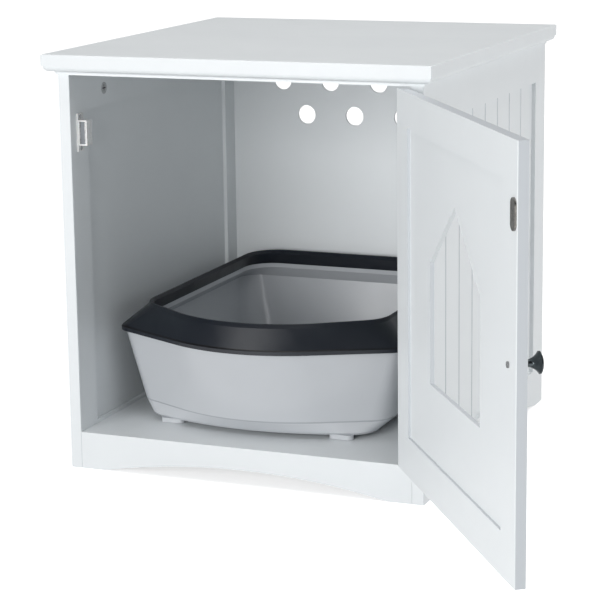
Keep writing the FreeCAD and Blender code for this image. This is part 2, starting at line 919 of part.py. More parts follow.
def make_cams():
    """Cam discs with a crossed slot, and the bolts that they draw in."""
    cams = Piece("cam_locks", (zero, zero, zero))
    bolts = Piece("cam_bolts", (zero, zero, zero))
    half_slot = d.cam_slot / 2
    half_wide = d.cam_slot_width / 2
    head = d.cam_bolt_head / 2
    shaft = d.cam_bolt_shaft / 2
    thread = d.cam_bolt_thread / 2
    tip = d.cam_inset - d.cam_bolt_short
    bolt_profile = [
        Line(thread, -d.cam_bolt_bite),
        Line(thread, zero),
        Line(shaft, zero),
        Line(shaft, tip - head * 2),
        Line(head, tip - head),
        Line(head, tip),
        Line(zero, tip),
        Line(zero, -d.cam_bolt_bite),
    ]
    disc_width = d.cam_bore - d.cam_play
    disc_thick = d.cam_depth - d.cam_play
    for side in (-1, 1):
        face = inner_half * side
        for place in cam_places:
            line = bolt_line * side
            cams.peg("x", face, [(place, cam_height)], disc_width, disc_thick, side)
            cams.bore("z", under_top, [(line, place)], cam_bolt_bore, d.cam_inset, -1)
            left, right = span(side, inner_half, inner_half + d.cam_slot_depth)
            cams.slot(
                (left, place - half_slot, cam_height - half_wide),
                (right, place + half_slot, cam_height + half_wide),
            )
            cams.slot(
                (left, place - half_wide, cam_height - half_slot),
                (right, place + half_wide, cam_height + half_slot),
            )
            bolts.turned("z", (line, place), under_top, bolt_profile, -1)
            under = (inner_half - d.cam_inset) * side
            cams.peg("z", floor_under, [(under, place)], disc_width, disc_thick)
            bolt_spot = [(place, floor_middle)]
            cams.bore("x", face, bolt_spot, cam_bolt_bore, d.cam_inset, -side)
            cams.slot(
                (under - half_slot, place - half_wide, floor_under),
                (under + half_slot, place + half_wide, floor_under + d.cam_slot_depth),
            )
            cams.slot(
                (under - half_wide, place - half_slot, floor_under),
                (under + half_wide, place + half_slot, floor_under + d.cam_slot_depth),
            )
            bolts.turned("x", (place, floor_middle), face, bolt_profile, -side)


def make_dowels():
    piece = Piece("dowels", (zero, zero, zero))
    spots = [(bolt_line * side, place) for side in (-1, 1) for place in top_dowel_places]
    piece.peg("z", under_top + d.dowel_bite, spots, d.dowel, d.dowel_length, -1)
    for side in (-1, 1):
        end = (inner_half + d.dowel_bite) * side
        spots = [(place, floor_middle) for place in floor_dowel_places]
        spots = spots + [apron_end_dowel, rear_end_dowel]
        piece.peg("x", end, spots, d.dowel, d.dowel_length, -side)
    spots = [(place, floor_middle) for place in apron_dowel_places]
    piece.peg("y", floor_front - d.dowel_bite, spots, d.dowel, d.dowel_length)


# Door: sizes along its width count from the pivot, and its outer face is the high Y one.
door_near = d.door_hinge_gap
door_far = pivot_x + inner_half - d.door_free_gap
door_low = d.floor_top + d.door_bottom_gap
door_high = under_top - d.cornice_drop - d.door_top_gap
door_face = -d.pivot_proud
door_rear = door_face - d.door_thick
door_panel_face = door_face - d.door_recess
door_panel_rear = door_panel_face - d.panel_thick
door_open_low = door_low + d.door_bottom_rail
door_open_high = door_high - d.door_top_rail
door_middle = (door_near + door_far) / 2
door_stile_in = door_near + d.door_stile
door_stile_out = door_far - d.door_stile
strike_centre = door_far - d.strike_from_edge
knob_centre = door_far - d.knob_from_edge
knob_height = (door_low + door_high) / 2
hinge_heights = (door_low + d.hinge_setin, door_high - d.hinge_setin)
screw_steps = (-1, 0, 1)


def door_stile(name, low, high, slot_low):
    piece = board(name, (low, door_rear, door_low), (high, door_face, door_high), DOOR)
    outer = zero if apart((low,), (slot_low,)) else high - low
    blank = piece.body.Tip
    piece.ease(blank, d.edge_ease, lambda edge: upright(edge) and at(edge.BoundBox.XMin, outer))
    piece.slot(
        (slot_low, door_panel_rear, door_low),
        (slot_low + d.panel_groove, door_panel_face, door_high),
    )
    return piece


def door_rail(name, bottom, top, slot_bottom):
    piece = board(
        name, (door_stile_in, door_rear, bottom), (door_stile_out, door_face, top), DOOR
    )
    for low, high in ((door_stile_in - tongue, door_stile_in),
                      (door_stile_out, door_stile_out + tongue)):
        piece.block((low, door_panel_rear, bottom), (high, door_panel_face, top))
    piece.slot(
        (door_stile_in - tongue, door_panel_rear, slot_bottom),
        (door_stile_out + tongue, door_panel_face, slot_bottom + d.panel_groove),
    )


def make_door():
    hinge_stile = door_stile(
        "door_hinge_stile", door_near, door_stile_in, door_stile_in - d.panel_groove
    )
    for height in hinge_heights:
        for step in screw_steps:
            centre = (-d.hinge_screw_back, height + d.hinge_screw_pitch * step)
            start = d.door_hinge_gap - d.leaf_thick
            hinge_stile.turned("x", centre, start, screw_profile(d.screw_play), 1, cut=True)
    free_stile = door_stile("door_free_stile", door_stile_out, door_far, door_stile_out)
    free_stile.bore("y", door_rear, [(knob_centre, knob_height)], knob_screw_bore, d.door_thick)
    strike_spot = (strike_centre, catch_height)
    free_stile.turned(
        "y", strike_spot, door_rear - d.strike_thick, screw_profile(d.screw_play), 1, cut=True
    )
    door_rail("door_top_rail", door_open_high, door_high, door_open_high)
    door_rail("door_bottom_rail", door_low, door_open_low, door_open_low - d.panel_groove)

    panel_low = door_open_low - tongue
    panel_high = door_open_high + tongue
    panel = board(
        "door_beadboard",
        (door_stile_in - tongue, door_panel_rear, panel_low),
        (door_stile_out + tongue, door_panel_face, panel_high),
        DOOR,
    )
    beads(panel, "x", door_panel_face, door_stile_in, door_stile_out, panel_low, panel_high,
          d.door_boards, -1)
    half = d.entrance_width / 2
    house = [
        Line(door_middle + half, d.entrance_sill),
        Line(door_middle + half, d.entrance_eaves),
        Line(door_middle, d.entrance_apex),
        Line(door_middle - half, d.entrance_eaves),
        Line(door_middle - half, d.entrance_sill),
    ]
    sketch = panel.outline("y", door_panel_rear, (door_middle - half, d.entrance_sill), house)
    panel.cut("y", sketch, d.panel_thick)


def hinge_leaf(name, frame, leaf_low, leaf_high, centre_x, centre_y, height, is_door):
    """A butt hinge leaf: the plate, its knuckles round the pin, and its screw holes."""
    half = d.leaf_height / 2
    half_middle = d.knuckle_middle / 2
    middle = (height - half_middle, height + half_middle)
    play = d.knuckle_play
    low, high = height - half, height + half
    piece = Piece(name, (leaf_low[0], leaf_low[1], low), frame)
    piece.block((leaf_low[0], leaf_low[1], low), (leaf_high[0], leaf_high[1], high))
    piece.peg("z", low, [(centre_x, centre_y)], d.knuckle_round, d.leaf_height)
    gap = d.knuckle_round / 2 + play
    if is_door:
        spans = ((low, middle[0] + play), (middle[1] - play, high))
    else:
        spans = (middle,)
    for bottom, top in spans:
        piece.slot((centre_x - gap, centre_y - gap, bottom), (centre_x + gap, centre_y + gap, top))
    piece.bore("z", low, [(centre_x, centre_y)], pin_bore, d.leaf_height)
    start = centre_x + d.pivot_from_side - d.leaf_thick
    back = -d.hinge_screw_back if is_door else centre_y + d.hinge_screw_back
    for step in screw_steps:
        spot = (back, height + d.hinge_screw_pitch * step)
        piece.turned("x", spot, start, screw_profile(d.screw_play), 1, cut=True)


def make_hinges(front_stile):
    pins = Piece("hinge_pins", (pivot_x, pivot_y, zero))
    frame_screws = Piece("frame_hinge_screws", (zero, zero, zero))
    door_screws = Piece("door_hinge_screws", (zero, zero, zero), DOOR)
    for name, height in zip(("lower", "upper"), hinge_heights):
        plate_face = inner_half - d.leaf_thick
        hinge_leaf(
            f"{name}_hinge_frame_leaf", CABINET,
            (plate_face, pivot_y), (inner_half, pivot_y + d.leaf_width),
            pivot_x, pivot_y, height, False,
        )
        hinge_leaf(
            f"{name}_hinge_door_leaf", DOOR,
            (d.door_hinge_gap - d.leaf_thick, -d.leaf_width), (d.door_hinge_gap, zero),
            zero, zero, height, True,
        )
        top = height + d.leaf_height / 2
        centre = [(pivot_x, pivot_y)]
        pins.peg("z", top, centre, d.pin_round, d.leaf_height, -1)
        pins.peg("z", top, centre, d.pin_head, d.pin_head_thick)
        for step in screw_steps:
            level = height + d.hinge_screw_pitch * step
            frame_spot = (pivot_y + d.hinge_screw_back, level)
            hole = screw_profile(d.screw_play)
            front_stile.turned("x", frame_spot, plate_face, hole, 1, cut=True)
            frame_screws.turned("x", frame_spot, plate_face, screw_profile(zero), 1)
            door_spot = (-d.hinge_screw_back, level)
            door_screws.turned(
                "x", door_spot, d.door_hinge_gap - d.leaf_thick, screw_profile(zero), 1
            )


def make_catch(front_stile):
    """The magnetic catch on the left side's inner face, and its plate on the door."""
    wall = -inner_half
    catch_front = front + d.door_thick + d.strike_thick + d.strike_gap
    flange_low = catch_height - d.catch_flange / 2
    flange_high = catch_height + d.catch_flange / 2
    body_low = catch_height - d.catch_body / 2
    body_high = catch_height + d.catch_body / 2
    reach = wall + d.catch_reach
    back = catch_front + d.catch_depth
    body_front = catch_front + d.pole_proud
    housing = board(
        "catch_housing", (wall, body_front, flange_low),
        (wall + d.catch_flange_thick, back, flange_high),
    )
    housing.block((wall, body_front, body_low), (reach, back, body_high))
    rim = d.catch_rim
    inner = wall + d.catch_flange_thick + rim
    outer = reach - rim
    slot_back = body_front + d.catch_slot_deep
    housing.slot((inner, body_front, body_low + rim), (outer, slot_back, body_high - rim))
    poles = Piece("catch_pole_plates", (inner, catch_front, body_low + rim))
    for left in (inner, outer - d.pole_plate):
        poles.block(
            (left, catch_front, body_low + rim), (left + d.pole_plate, slot_back, body_high - rim)
        )
    board(
        "catch_magnet",
        (inner + d.pole_plate, catch_front + d.pole_proud + d.magnet_recess, body_low + rim),
        (outer - d.pole_plate, slot_back, body_high - rim),
    )
    screws = Piece("catch_screws", (zero, zero, zero))
    middle = (body_front + back) / 2
    for level in ((flange_low + body_low) / 2, (flange_high + body_high) / 2):
        face = wall + d.catch_flange_thick
        hole = screw_profile(d.screw_play)
        housing.turned("x", (middle, level), face, hole, -1, cut=True)
        front_stile.turned("x", (middle, level), face, hole, -1, cut=True)
        screws.turned("x", (middle, level), face, screw_profile(zero), -1)

    strike_face = door_rear - d.strike_thick
    centre = (strike_centre, catch_height)
    piece = Piece("strike_plate", (strike_centre, strike_face, catch_height), DOOR)
    plate = stadium(*centre, d.strike_width / 2, d.strike_length / 2)
    piece.pad("y", piece.outline("y", strike_face, *plate), d.strike_thick)
    piece.turned("y", centre, strike_face, screw_profile(d.screw_play), 1, cut=True)
    screw = Piece("strike_screw", (strike_centre, strike_face, catch_height), DOOR)
    screw.turned("y", centre, strike_face, screw_profile(zero), 1)


def make_knob():
    """A trumpet-shaped knob with a domed end, held by a screw through the stile."""
    knob = Piece("door_knob", (knob_centre, door_face, knob_height), DOOR)
    centre = (knob_centre, knob_height)
    foot = d.knob_foot / 2
    neck = d.knob_neck / 2
    edge = d.knob_round / 2
    foot_in = foot - neck
    foot_radius = (foot_in * foot_in + d.knob_neck_out * d.knob_neck_out) / (foot_in * 2)
    flare_in = edge - neck
    flare_out = d.knob_flare_out - d.knob_neck_out
    flare_radius = (flare_in * flare_in + flare_out * flare_out) / (flare_in * 2)
    crown = d.knob_reach - d.knob_flare_out - d.knob_edge
    crown_radius = (edge * edge + crown * crown) / (crown * 2)
    profile = [
        Line(foot, zero),
        Bend(neck, d.knob_neck_out, foot_radius, -1),
        Bend(edge, d.knob_flare_out, flare_radius, -1),
        Line(edge, d.knob_flare_out + d.knob_edge),
        Bend(zero, d.knob_reach, crown_radius, 1),
        Line(zero, zero),
    ]
    knob.turned("y", centre, door_face, profile)
    bite = d.knob_screw_bite + d.knob_screw_play
    knob.bore("y", door_face, [centre], d.knob_screw + d.knob_screw_play, bite)
    head_face = door_rear - d.knob_screw_head_thick
    screw = Piece("knob_screw", (knob_centre, head_face, knob_height), DOOR)
    length = d.door_thick + d.knob_screw_bite
    screw.peg("y", head_face, [centre], d.knob_screw_head, d.knob_screw_head_thick)
    screw.peg("y", door_rear, [centre], d.knob_screw, length)


class Ring:
    """A closed outline of the tray: bowed front, straight sides and back, round corners."""

    def __init__(self, half, near, far, bow, angle, front_round, rear_round):
        self.sizes = (half, near, far, bow, angle, front_round, rear_round)

    def inset(self, amount):
        half, near, far, bow, angle, front_round, rear_round = self.sizes
        return Ring(half - amount, near + amount, far - amount, bow - amount, angle,
                    front_round - amount, rear_round - amount)

    def towards(self, other, share):
        """An outline part of the way to another one."""
        pairs = zip(self.sizes, other.sizes)
        return Ring(*[mine + (theirs - mine) * share for mine, theirs in pairs])

    def path(self):
        half, near, far, bow, angle, front_round, rear_round = self.sizes
        bow_x = bow * sine(angle)
        bow_y = near + bow * (1 - cosine(angle))
        corner_x = half - front_round
        run = corner_x - bow_x
        corner_y = bow_y + (front_round + sine(angle) * run) / cosine(angle)
        touch_x = corner_x + front_round * sine(angle)
        touch_y = corner_y - front_round * cosine(angle)
        back_y = far - rear_round
        back_x = half - rear_round

        def spot(x, y):
            return (d.tray_centre + x, y)

        return spot(-bow_x, bow_y), [
            Bend(*spot(bow_x, bow_y), bow, 1),
            Line(*spot(touch_x, touch_y)),
            Bend(*spot(half, corner_y), front_round, 1),
            Line(*spot(half, back_y)),
            Bend(*spot(back_x, far), rear_round, 1),
            Line(*spot(-back_x, far)),
            Bend(*spot(-half, back_y), rear_round, 1),
            Line(*spot(-half, corner_y)),
            Bend(*spot(-touch_x, touch_y), front_round, 1),
            Line(*spot(-bow_x, bow_y)),
        ]


def ring(name):
    """An outline from the sheet, set in from the tray's overall width and depth."""
    side, near, far, *rest = [getattr(d, f"{name}_{field}") for field in RING_FIELDS]
    half = d.tray_width / 2 - side
    return Ring(half, tray_front + near, tray_front + d.tray_depth - far, *rest)


def make_tray():
    """The moulded pan and the rim that snaps over it, both open skins between outlines."""
    base, crease, skirt, ridge, brow, opening = [ring(name) for name in RING_SIZES]
    level = d.floor_top
    foot_low = level + d.tray_lift
    wall = d.tray_wall
    base_level = level + d.tray_foot_rise
    belly_level = base_level + d.base_ease
    crease_level = level + d.crease_rise
    neck_level = level + d.neck_rise
    wall_level = level + d.wall_rise
    lip_level = level + d.lip_rise
    lip_low = lip_level - d.lip_height
    pan_top = lip_level - d.rim_gap
    shoulder = skirt.inset(d.rim_wall + d.rim_fit)

    pan = Piece("litter_pan", (d.tray_centre, zero, foot_low))
    pan.loft([
        (base_level, base.inset(d.base_ease)),
        (belly_level, base),
        (crease_level, crease),
        (wall_level, shoulder),
        (pan_top, opening.inset(-wall)),
    ])
    neck_share = (neck_level - crease_level) / (wall_level - crease_level)
    pan.loft([
        (base_level + wall, base.inset(d.base_ease + wall)),
        (belly_level + wall, base.inset(wall)),
        (crease_level, crease.inset(wall)),
        (neck_level, crease.towards(shoulder, neck_share).inset(wall)),
        (lip_low, opening),
        (lip_level, opening),
    ], cut=True)
    half_wide = d.foot_width / 2
    near = tray_front + d.base_front + d.foot_setin + half_wide
    far = tray_front + d.tray_depth - d.base_back - d.foot_setin - half_wide * 2
    for x in (d.tray_centre - d.foot_spacing / 2, d.tray_centre + d.foot_spacing / 2):
        for y in (near, far):
            foot = stadium(x, y, d.foot_length / 2, half_wide)
            pan.pad("z", pan.outline("z", foot_low, *foot), base_level - foot_low)

    thick = d.rim_wall
    skirt_level = level + d.skirt_rise
    bead_level = level + d.bead_rise
    ridge_level = level + d.ridge_rise
    crown_low = ridge_level - d.crown_height
    bead = skirt.inset(d.bead_step)
    rim = Piece("pan_rim", (d.tray_centre, zero, skirt_level))
    rim.loft([
        (skirt_level, skirt),
        (bead_level - d.bead_step, skirt),
        (bead_level, bead),
        (crown_low, ridge),
        (ridge_level, ridge.towards(brow, CROWN_OUTER)),
    ])
    rim.loft([
        (skirt_level, skirt.inset(thick)),
        (bead_level, bead.inset(thick)),
        (crown_low, ridge.inset(thick + thick)),
    ], cut=True)
    rim.loft([(lip_level, opening.inset(-thick)), (crown_low, brow.inset(-thick))])
    rim.loft([
        (lip_level, opening),
        (crown_low, brow),
        (ridge_level, ridge.towards(brow, CROWN_INNER)),
    ], cut=True)


def stop_on(faults):
    if faults:
        raise RuntimeError("; ".join(faults))


def check_and_write():
    """Refuse a document with a failed object, a cut that cuts nothing or a bad shape."""
    document.recompute()
    stop_on([item.Name for item in document.Objects if {"Invalid", "Error"} & set(item.State)])
    cuts = ("PartDesign::Pocket", "PartDesign::Groove", "PartDesign::SubtractiveLoft")
    stop_on([
        f"{item.Name} cuts nothing"
        for item in document.Objects
        if item.TypeId in cuts and item.BaseFeature.Shape.Volume - item.Shape.Volume < LEAST_CUT
    ])
    shapes = {piece.body.Label: piece.body.Shape for piece in Piece.made}
    stop_on([
        f"{label} has no valid solid"
        for label, shape in shapes.items()
        if shape.isNull() or not shape.isValid() or not shape.Solids
    ])
    os.makedirs("parts", exist_ok=True)
    for label, shape in shapes.items():
        shape.exportStep(f"parts/{label}.step")


left_front_stile = make_side(-1)
right_front_stile = make_side(1)
make_top()
make_cornices()
make_floor()
make_apron()
make_rear_rail()
make_back()
make_cams()
make_dowels()
make_door()
make_hinges(right_front_stile)
make_catch(left_front_stile)
make_knob()
make_tray()
check_and_write()
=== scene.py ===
import json

import bmesh
import bpy
from mathutils import Matrix, Vector

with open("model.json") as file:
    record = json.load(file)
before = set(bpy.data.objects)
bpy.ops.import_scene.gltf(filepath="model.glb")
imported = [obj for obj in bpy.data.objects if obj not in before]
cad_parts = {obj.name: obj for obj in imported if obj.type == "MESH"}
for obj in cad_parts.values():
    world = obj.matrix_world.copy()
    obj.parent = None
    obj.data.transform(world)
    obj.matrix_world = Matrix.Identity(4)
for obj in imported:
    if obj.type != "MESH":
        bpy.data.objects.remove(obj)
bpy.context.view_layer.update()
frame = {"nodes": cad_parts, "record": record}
scene = bpy.context.scene
scene.view_settings.view_transform = "Standard"

WHITE = (1.0, 1.0, 1.0)

# The row frame's directions, as seen from the front.
RIGHTWARD = (1, 0, 0)
LEFTWARD = (-1, 0, 0)
FORWARD = (0, -1, 0)
UPWARD = (0, 0, 1)

# ---------------------------------------------------------------- camera
# Solved from the photograph's edges, in pixels of a 600 x 600 picture and in metres.
PICTURE = 600
FOCAL = 2149.416
CENTRE = (282.803, 279.347)
EYE = Vector((1.002024, -2.756046, 0.773934))
VIEW_FORWARD = Vector((-0.37754, 0.90262, -0.20675))
VIEW_RIGHT = Vector((0.92366, 0.38293, -0.01490))
VIEW_UP = Vector((-0.06572, 0.19659, 0.97828))
SENSOR = 36.0
VIEW_REACH = 100.0


def make_camera():
    data = bpy.data.cameras.new("camera")
    data.sensor_width = SENSOR
    data.lens = FOCAL * SENSOR / PICTURE
    data.shift_x = (PICTURE / 2 - CENTRE[0]) / PICTURE
    data.shift_y = (CENTRE[1] - PICTURE / 2) / PICTURE
    data.clip_end = VIEW_REACH
    camera = bpy.data.objects.new("camera", data)
    turn = Matrix((VIEW_RIGHT, VIEW_UP, -VIEW_FORWARD)).transposed().to_4x4()
    camera.matrix_world = Matrix.Translation(EYE) @ turn
    scene.collection.objects.link(camera)
    scene.camera = camera


# ---------------------------------------------------------------- material kit
class Nodes:
    """The node tree of a material or world, emptied, and the calls that fill it."""

    def __init__(self, owner):
        owner.use_nodes = True
        self.tree = owner.node_tree
        self.tree.nodes.clear()

    def add(self, kind, **values):
        node = self.tree.nodes.new(kind)
        for name, value in values.items():
            setattr(node, name, value)
        return node

    def link(self, out, into):
        self.tree.links.new(out, into)

    def feed(self, socket, value):
        """Sets a socket to a number or a colour, or links it to another node's output."""
        if isinstance(value, bpy.types.NodeSocket):
            self.link(value, socket)
        elif isinstance(value, (int, float)):
            socket.default_value = value
        else:
            socket.default_value = (*value, 1.0)

    def calculate(self, operation, *values, clamp=False):
        node = self.add("ShaderNodeMath", operation=operation, use_clamp=clamp)
        for socket, value in zip(node.inputs, values):
            self.feed(socket, value)
        return node.outputs[0]

    def shader(self, kind, colour, strength=None):
        """A plain shader of one colour, with a strength where it gives light."""
        node = self.add(kind)
        self.feed(node.inputs["Color"], colour)
        if strength is not None:
            self.feed(node.inputs["Strength"], strength)
        return node.outputs[0]

    def mix_shaders(self, share, first, second):
        node = self.add("ShaderNodeMixShader")
        for socket, value in zip(node.inputs, (share, first, second)):
            self.link(value, socket)
        return node.outputs[0]


class Paint(Nodes):
    """A material on a Principled surface, with textures in the object's own metres."""

    # the share of a band's half width over which it has its full strength
    BAND_CORE = 0.35

    def __init__(self, name):
        self.material = bpy.data.materials.new(name)
        super().__init__(self.material)
        self.surface = self.add("ShaderNodeBsdfPrincipled")
        output = self.add("ShaderNodeOutputMaterial")
        self.link(self.surface.outputs["BSDF"], output.inputs["Surface"])
        coordinates = self.add("ShaderNodeTexCoord")
        self.place = coordinates.outputs["Object"]
        self.facing = coordinates.outputs["Normal"]
        self.relief = None

    def set(self, **values):
        for name, value in values.items():
            self.surface.inputs[name.replace("_", " ")].default_value = value

    def stretched(self, scale):
        mapping = self.add("ShaderNodeMapping")
        mapping.inputs["Scale"].default_value = scale
        self.link(self.place, mapping.inputs["Vector"])
        return mapping.outputs["Vector"]

    def noise(self, scale, detail=2.0, rough=0.5, stretch=None):
        node = self.add("ShaderNodeTexNoise")
        self.feed(node.inputs["Scale"], scale)
        self.feed(node.inputs["Detail"], detail)
        self.feed(node.inputs["Roughness"], rough)
        self.link(self.stretched(stretch) if stretch else self.place, node.inputs["Vector"])
        return node.outputs["Fac"]

    def cells(self, scale):
        """The distance to the nearest of many scattered points."""
        node = self.add("ShaderNodeTexVoronoi", feature="F1")
        self.feed(node.inputs["Scale"], scale)
        self.link(self.place, node.inputs["Vector"])
        return node.outputs["Distance"]

    def spread(self, value, low, high, from_low=0.35, from_high=0.65):
        """Goes smoothly from low to high while the value goes from from_low to from_high."""
        node = self.add("ShaderNodeMapRange", interpolation_type="SMOOTHSTEP")
        self.feed(node.inputs["From Min"], from_low)
        self.feed(node.inputs["From Max"], from_high)
        self.feed(node.inputs["To Min"], low)
        self.feed(node.inputs["To Max"], high)
        self.link(value, node.inputs["Value"])
        return node.outputs["Result"]

    def band(self, height, half):
        """1 along a level line of the object, fading to 0 this far above and below it."""
        split = self.add("ShaderNodeSeparateXYZ")
        self.link(self.place, split.inputs[0])
        above = self.calculate("SUBTRACT", split.outputs["Z"], height)
        away = self.calculate("ABSOLUTE", above)
        return self.spread(away, 1.0, 0.0, half * self.BAND_CORE, half)

    def beyond(self, vector, direction, start, end):
        """0 where the vector reaches less than start along the direction, 1 from end on."""
        node = self.add("ShaderNodeVectorMath", operation="DOT_PRODUCT")
        self.link(vector, node.inputs[0])
        node.inputs[1].default_value = direction
        return self.spread(node.outputs["Value"], 0.0, 1.0, start, end)

    def ramp(self, value, stops):
        node = self.add("ShaderNodeValToRGB")
        for element, (place, colour) in zip(node.color_ramp.elements, stops):
            element.position = place
            element.color = (*colour, 1.0)
        self.link(value, node.inputs["Fac"])
        return node.outputs["Color"]

    def mix(self, share, first, second):
        node = self.add("ShaderNodeMix", data_type="RGBA")
        factor, colour_a, colour_b = node.inputs[0], node.inputs[6], node.inputs[7]
        self.feed(factor, share)
        self.feed(colour_a, first)
        self.feed(colour_b, second)
        return node.outputs[2]

    def colour(self, out):
        self.link(out, self.surface.inputs["Base Color"])

    def roughness(self, texture, low, high):
        """Lets the roughness follow a texture between two values."""
        self.link(self.spread(texture, low, high), self.surface.inputs["Roughness"])

    def bump(self, out, depth, strength):
        """Adds a relief of this depth in metres over those added before."""
        node = self.add("ShaderNodeBump")
        self.feed(node.inputs["Strength"], strength)
        self.feed(node.inputs["Distance"], depth)
        self.link(out, node.inputs["Height"])
        if self.relief:
            self.link(self.relief, node.inputs["Normal"])
        self.relief = node.outputs["Normal"]
        self.link(self.relief, self.surface.inputs["Normal"])


# ---------------------------------------------------------------- materials
# Places on the object, in metres of its own frame.
AHEAD_OF_TOP = (0.5125, 0.5135)  # forward of the rear plane, where only the open door stands
CAM_SLOTS = (0.2152, 0.2156)  # sideways from the middle, in the cam locks' slots
PAN_CREASE = 0.068  # the height of the crease round the pan
PAN_CREASE_HALF = 0.0011
RIM_STEP = 0.1630  # the height of the step in the rim's skirt
RIM_STEP_HALF = 0.0012


def white_paint():
    """Satin white paint on fibreboard: a faint cloudiness, and the fine peel of a sprayed coat."""
    p = Paint("white_paint")
    shades = [(0.35, (0.816, 0.845, 0.860)), (0.65, (0.834, 0.863, 0.876))]
    cloud = p.ramp(p.noise(7.0, 3.0), shades)
    fleck = p.spread(p.noise(420.0), 0.0, 0.05, 0.62, 0.80)
    coat = p.mix(fleck, cloud, (0.74, 0.75, 0.76))
    # painted shade: the open door's cut edges are painted greyer than its faces, standing in for
    # the weaker light that falls on them
    rightward = p.beyond(p.facing, RIGHTWARD, 0.30, 0.42)
    forward = p.beyond(p.facing, FORWARD, 0.50, 0.60)
    upward = p.beyond(p.facing, UPWARD, 0.60, 0.90)
    in_front = p.beyond(p.place, FORWARD, *AHEAD_OF_TOP)
    free_edge = p.calculate("MULTIPLY", rightward, forward)
    top_edge = p.calculate("MULTIPLY", upward, in_front)
    painted_edge_shade = p.calculate("MAXIMUM", free_edge, top_edge)
    p.colour(p.mix(painted_edge_shade, coat, (0.60, 0.63, 0.66)))
    p.roughness(p.noise(60.0, 3.0), 0.41, 0.46)
    p.bump(p.noise(700.0), depth=0.00004, strength=0.30)
    p.bump(p.noise(90.0), depth=0.00012, strength=0.08)
    p.set(Specular_IOR_Level=0.45)
    return p.material


def pan_plastic():
    """Light grey moulded plastic, glossy, with faint scuffs, shallow sink marks and a crease, with
    painted shade darkening the crease line.
    """
    p = Paint("pan_plastic")
    tone = p.ramp(p.noise(6.0), [(0.3, (0.535, 0.555, 0.580)), (0.7, (0.550, 0.570, 0.596))])
    scuff = p.spread(p.noise(160.0, 4.0, 0.6), 0.0, 0.06, 0.62, 0.80)
    worn = p.mix(scuff, tone, (0.64, 0.66, 0.69))
    crease_and_shade = p.band(PAN_CREASE, PAN_CREASE_HALF)
    # painted shade: a darker line along the crease, where shade falls in it
    p.colour(p.mix(crease_and_shade, worn, (0.40, 0.42, 0.45)))
    p.roughness(p.noise(24.0, 3.0), 0.22, 0.27)
    p.bump(p.noise(9.0, 1.0), depth=0.0004, strength=0.12)
    p.bump(crease_and_shade, depth=-0.0006, strength=0.5)
    p.bump(p.noise(1400.0), depth=0.00002, strength=0.2)
    p.set(Specular_IOR_Level=0.5)
    return p.material


def rim_plastic():
    """Charcoal moulded plastic with a fine spark-eroded grain, and painted shade darkening it
    along the skirt's step.
    """
    p = Paint("rim_plastic")
    tone = p.ramp(p.noise(16.0), [(0.3, (0.005, 0.008, 0.014)), (0.7, (0.007, 0.010, 0.016))])
    speck = p.spread(p.cells(1300.0), 0.0, 0.25, 0.25, 0.6)
    grain = p.mix(speck, tone, (0.011, 0.014, 0.020))
    # painted shade: near black along the skirt's step, where shade falls under the bead
    p.colour(p.mix(p.band(RIM_STEP, RIM_STEP_HALF), grain, (0.001, 0.001, 0.002)))
    p.roughness(p.noise(60.0, 3.0), 0.33, 0.39)
    p.bump(p.cells(1500.0), depth=0.00003, strength=0.25)
    p.bump(p.noise(40.0), depth=0.0001, strength=0.1)
    p.set(Specular_IOR_Level=0.42)
    return p.material


def catch_plastic():
    """White moulded catch plastic, a little warmer and glossier than the paint."""
    p = Paint("catch_plastic")
    p.colour(p.ramp(p.noise(80.0), [(0.3, (0.80, 0.80, 0.79)), (0.7, (0.86, 0.86, 0.85))]))
    p.roughness(p.noise(300.0), 0.26, 0.38)
    p.bump(p.noise(1600.0), depth=0.00003, strength=0.3)
    p.set(Subsurface_Weight=0.05, Subsurface_Scale=0.002)
    return p.material


def metal(name, dark, light, smoothest, roughest, grain=0.4):
    """Plated or polished metal: patches of tone, a fine grain and a varying polish."""
    p = Paint(name)
    p.colour(p.ramp(p.noise(240.0, 3.0), [(0.3, dark), (0.7, light)]))
    p.roughness(p.noise(500.0, 3.0), smoothest, roughest)
    p.bump(p.noise(1800.0), depth=0.00002, strength=grain)
    p.set(Metallic=1.0)
    return p.material


def cam_zinc():
    """Die-cast cam locks with a pale coat, and painted shade making the slots where a screwdriver
    goes dark.
    """
    p = Paint("cam_zinc")
    tone = p.ramp(p.noise(300.0, 3.0), [(0.3, (0.40, 0.41, 0.42)), (0.7, (0.52, 0.53, 0.54))])
    left = p.beyond(p.place, LEFTWARD, *CAM_SLOTS)
    right = p.beyond(p.place, RIGHTWARD, *CAM_SLOTS)
    # painted shade: near black in the screwdriver slots, where shade falls in the recess
    p.colour(p.mix(p.calculate("MAXIMUM", left, right), tone, (0.02, 0.02, 0.02)))
    p.roughness(p.noise(500.0, 3.0), 0.40, 0.55)
    p.bump(p.noise(1800.0), depth=0.00002, strength=0.4)
    p.set(Metallic=0.6)
    return p.material


def ferrite():
    """Sintered magnet: dark grey, granular and dull."""
    p = Paint("magnet_ferrite")
    grains = [(0.1, (0.150, 0.160, 0.175)), (0.6, (0.240, 0.255, 0.275))]
    p.colour(p.ramp(p.cells(2200.0), grains))
    p.roughness(p.noise(900.0), 0.62, 0.82)
    p.bump(p.cells(2400.0), depth=0.00008, strength=0.5)
    return p.material


def beech():
    """Turned beech: long grain with the short dark rays of the wood."""
    p = Paint("beech")
    grain = p.noise(60.0, 4.0, 0.6, stretch=(1.0, 8.0, 1.0))
    wood = p.ramp(grain, [(0.3, (0.50, 0.31, 0.16)), (0.7, (0.66, 0.45, 0.26))])
    rays = p.spread(p.noise(700.0, stretch=(0.25, 1.0, 1.0)), 0.0, 0.6, 0.60, 0.72)
    p.colour(p.mix(rays, wood, (0.34, 0.19, 0.09)))
    p.roughness(grain, 0.55, 0.75)
    p.bump(grain, depth=0.00008, strength=0.5)
    return p.material


